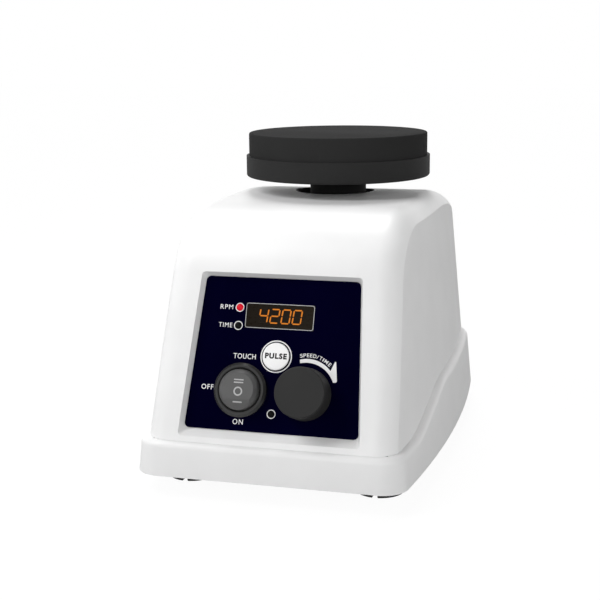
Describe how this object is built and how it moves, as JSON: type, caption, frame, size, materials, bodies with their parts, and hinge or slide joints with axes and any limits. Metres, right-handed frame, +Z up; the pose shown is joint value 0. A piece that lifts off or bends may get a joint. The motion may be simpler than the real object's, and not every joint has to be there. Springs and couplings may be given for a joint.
{
  "type": "vortex mixer",
  "caption": "Bench vortex mixer with a moulded white housing, a sloped control panel and a round rubber platform on an eccentric drive that shakes tubes pressed onto it.",
  "frame": {"origin": "on the table, under the middle of the base", "axes": "+Z up, the control panel faces -Y, +X to the right seen from the front"},
  "size_m": [0.1272, 0.2, 0.1435],
  "materials": {
    "housing_white": "satin moulded plastic, fine grain",
    "foot_rubber": "matte",
    "screw_steel": "plated",
    "ballast_steel": "bare",
    "overlay_navy": "smooth printed film",
    "window_smoke": "smoked clear window",
    "display_body": "dark digit module",
    "lens_red": "lit red lens",
    "lens_dark": "unlit lens",
    "board_green": "solder mask",
    "key_white": "smooth",
    "black_plastic": "moulded",
    "bezel_grey": "polished",
    "rocker_grey": "polished",
    "knob_grey": "fine matte",
    "nut_metal": "plated",
    "cradle_metal": "cast",
    "bumper_rubber": "matte",
    "motor_metal": "drawn steel",
    "bush_brass": "sintered",
    "magnet_dark": "ferrite",
    "armature_iron": "wound core",
    "shaft_steel": "ground",
    "eccentric_steel": "turned",
    "neck_black": "moulded",
    "dish_black": "moulded",
    "pad_rubber": "moulded rubber"
  },
  "bodies": {
    "enclosure": {"base_tray": "housing_white", "upper_housing": "housing_white", "foot_front_left": "foot_rubber", "foot_front_right": "foot_rubber", "foot_rear_left": "foot_rubber", "foot_rear_right": "foot_rubber", "housing_screw_front_left": "screw_steel", "housing_screw_front_right": "screw_steel", "housing_screw_rear_left": "screw_steel", "housing_screw_rear_right": "screw_steel", "board_screw_1": "screw_steel", "board_screw_2": "screw_steel", "board_screw_3": "screw_steel", "board_screw_4": "screw_steel", "cradle_screw_1": "screw_steel", "cradle_screw_2": "screw_steel", "cradle_screw_3": "screw_steel", "cradle_screw_4": "screw_steel", "rocker_pin": "screw_steel", "ballast_plate": "ballast_steel", "panel_overlay": "overlay_navy", "display_window": "window_smoke", "display_module": "display_body", "speed_led": "lens_red", "time_led": "lens_dark", "status_led": "lens_dark", "control_board": "board_green", "pulse_switch": "black_plastic", "encoder_body": "black_plastic", "power_jack": "black_plastic", "jack_nut": "black_plastic", "touch_switch": "black_plastic", "rocker_bezel": "bezel_grey", "encoder_nut": "nut_metal", "motor_cradle": "cradle_metal", "cradle_cap": "cradle_metal", "press_bumper": "bumper_rubber"},
    "drive_carriage": {"motor_can": "motor_metal", "motor_end_plate": "motor_metal", "upper_bush": "bush_brass", "lower_bush": "bush_brass", "field_magnet": "magnet_dark"},
    "rotor": {"motor_shaft": "shaft_steel", "armature": "armature_iron", "eccentric_hub": "eccentric_steel", "pin_screw": "screw_steel", "bearing_inner": "shaft_steel", "bearing_balls": "shaft_steel"},
    "head": {"bearing_outer": "shaft_steel", "head_neck": "neck_black", "head_dish": "dish_black", "head_screw": "screw_steel", "head_pad": "pad_rubber"},
    "switch_rocker": {"rocker": "rocker_grey"},
    "speed_knob": {"knob": "knob_grey", "encoder_shaft": "nut_metal"},
    "key": {"pulse_key": "key_white"}
  },
  "joints": [
    {"name": "platform_press", "type": "slide", "parent": "enclosure", "child": "drive_carriage", "axis": [0, 0, -1], "range_m": [0, 0.0012], "stiffness_N_per_m": 5000, "springref_m": -0.003, "deforming": ["press_bumper"]},
    {"name": "motor_spin", "type": "hinge", "parent": "drive_carriage", "child": "rotor", "pos_m": [0, 0.0217, 0.0655], "axis": [0, 0, 1], "continuous": true},
    {"name": "head_orbit", "type": "hinge", "parent": "rotor", "child": "head", "pos_m": [0.0015, 0.0217, 0.107], "axis": [0, 0, 1], "continuous": true},
    {"name": "rocker_tilt", "type": "hinge", "parent": "enclosure", "child": "switch_rocker", "pos_m": [-0.014, -0.08616, 0.04461], "axis": [1, 0, 0], "range_deg": [-11, 11]},
    {"name": "knob_turn", "type": "hinge", "parent": "enclosure", "child": "speed_knob", "pos_m": [0.014, -0.08457, 0.04402], "axis": [0, -0.9369, 0.3496], "continuous": true},
    {"name": "key_press", "type": "slide", "parent": "enclosure", "child": "key", "axis": [0, 0.9369, -0.3496], "range_m": [0, 0.0005], "stiffness_N_per_m": 600, "springref_m": -0.002}
  ],
  "couplings": [
    {"joint": "head_orbit", "follows": "motor_spin", "ratio": -1}
  ]
}
